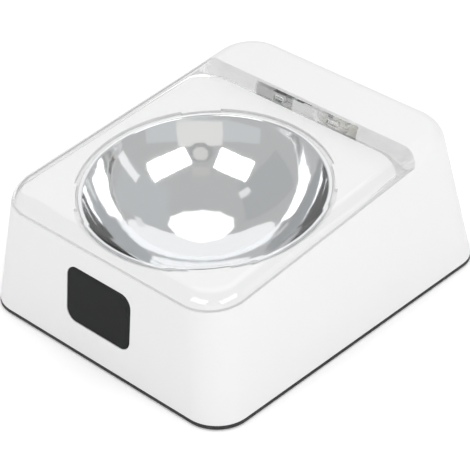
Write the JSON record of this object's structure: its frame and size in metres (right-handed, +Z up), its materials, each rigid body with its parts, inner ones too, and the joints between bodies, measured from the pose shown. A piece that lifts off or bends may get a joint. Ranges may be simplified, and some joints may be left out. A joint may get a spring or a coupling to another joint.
{
  "type": "sensor cat feeder",
  "caption": "Automatic pet bowl: white slanted housing with a clear hinged lid lifted by a geared motor, a polished steel bowl and a black sensor window in the front wall.",
  "frame": {"origin": "on the floor under the middle of the base", "axes": "+Z up, -Y towards the front with the sensor window, +X to the right seen from the front"},
  "size_m": [0.2, 0.252, 0.1046],
  "materials": {
    "housing_white": "satin white",
    "base_black": "fine matt",
    "window_black": "gloss",
    "lid_clear": "clear gloss",
    "bowl_steel": "mirror polished",
    "shaft_steel": "ground",
    "sheet_zinc": "zinc plated",
    "bush_brass": "turned",
    "gear_nylon": "moulded",
    "motor_metal": "plated can",
    "foot_rubber": "matt",
    "board_green": "solder mask",
    "cell_wrap": "plain wrapper",
    "lead_grey": "plain sheath",
    "lamp_smoked": "smoked"
  },
  "bodies": {
    "housing": {"upper_housing": "housing_white", "base_plate": "base_black", "shaft_bush_left": "bush_brass", "shaft_bush_right": "bush_brass", "gearbox_housing": "gear_nylon", "motor": "motor_metal", "motor_bracket": "sheet_zinc", "bracket_screw_1": "sheet_zinc", "bracket_screw_2": "sheet_zinc", "base_screw_1": "sheet_zinc", "base_screw_2": "sheet_zinc", "base_screw_3": "sheet_zinc", "base_screw_4": "sheet_zinc", "base_screw_5": "sheet_zinc", "base_screw_6": "sheet_zinc", "rubber_foot_1": "foot_rubber", "rubber_foot_2": "foot_rubber", "rubber_foot_3": "foot_rubber", "rubber_foot_4": "foot_rubber", "battery_box": "base_black", "battery_1": "cell_wrap", "battery_2": "cell_wrap", "battery_3": "cell_wrap", "battery_4": "cell_wrap", "battery_contact_left": "sheet_zinc", "battery_contact_right": "sheet_zinc", "control_board": "board_green", "board_screw_1": "sheet_zinc", "board_screw_2": "sheet_zinc", "sensor_window": "window_black", "sensor_holder": "base_black", "sensor_board": "board_green", "ir_emitter": "lamp_smoked", "ir_receiver": "lamp_smoked", "holder_screw_1": "sheet_zinc", "holder_screw_2": "sheet_zinc", "power_switch": "base_black", "sensor_cable": "lead_grey", "battery_cable": "lead_grey", "motor_cable": "lead_grey"},
    "lid": {"lid": "lid_clear", "lid_drive_arm": "housing_white", "hinge_shaft": "shaft_steel"},
    "drive": {"drive_gear": "gear_nylon", "drive_shaft": "shaft_steel"},
    "bowl": {"food_bowl": "bowl_steel"},
    "door": {"battery_door": "base_black"},
    "rocker": {"power_rocker": "base_black"}
  },
  "joints": [
    {"name": "lid_hinge", "type": "hinge", "parent": "housing", "child": "lid", "pos_m": [0, 0.07241, 0.09714], "axis": [-1, 0, 0], "range_deg": [0, 70]},
    {"name": "drive_gear_spin", "type": "hinge", "parent": "housing", "child": "drive", "pos_m": [0, 0.07249, 0.07914], "axis": [-1, 0, 0], "range_deg": [-142, 2]},
    {"name": "bowl_lift", "type": "slide", "parent": "housing", "child": "bowl", "axis": [0, -0.0916, 0.9958], "range_m": [0, 0.006]},
    {"name": "battery_door_slide", "type": "slide", "parent": "housing", "child": "door", "axis": [0, 1, 0], "range_m": [0, 0.0055]},
    {"name": "power_rocker_tip", "type": "hinge", "parent": "housing", "child": "rocker", "pos_m": [0.058, 0.12158, 0.02728], "axis": [-1, 0, 0], "range_deg": [0, 16]}
  ],
  "couplings": [
    {"joint": "drive_gear_spin", "follows": "lid_hinge", "ratio": -2}
  ]
}
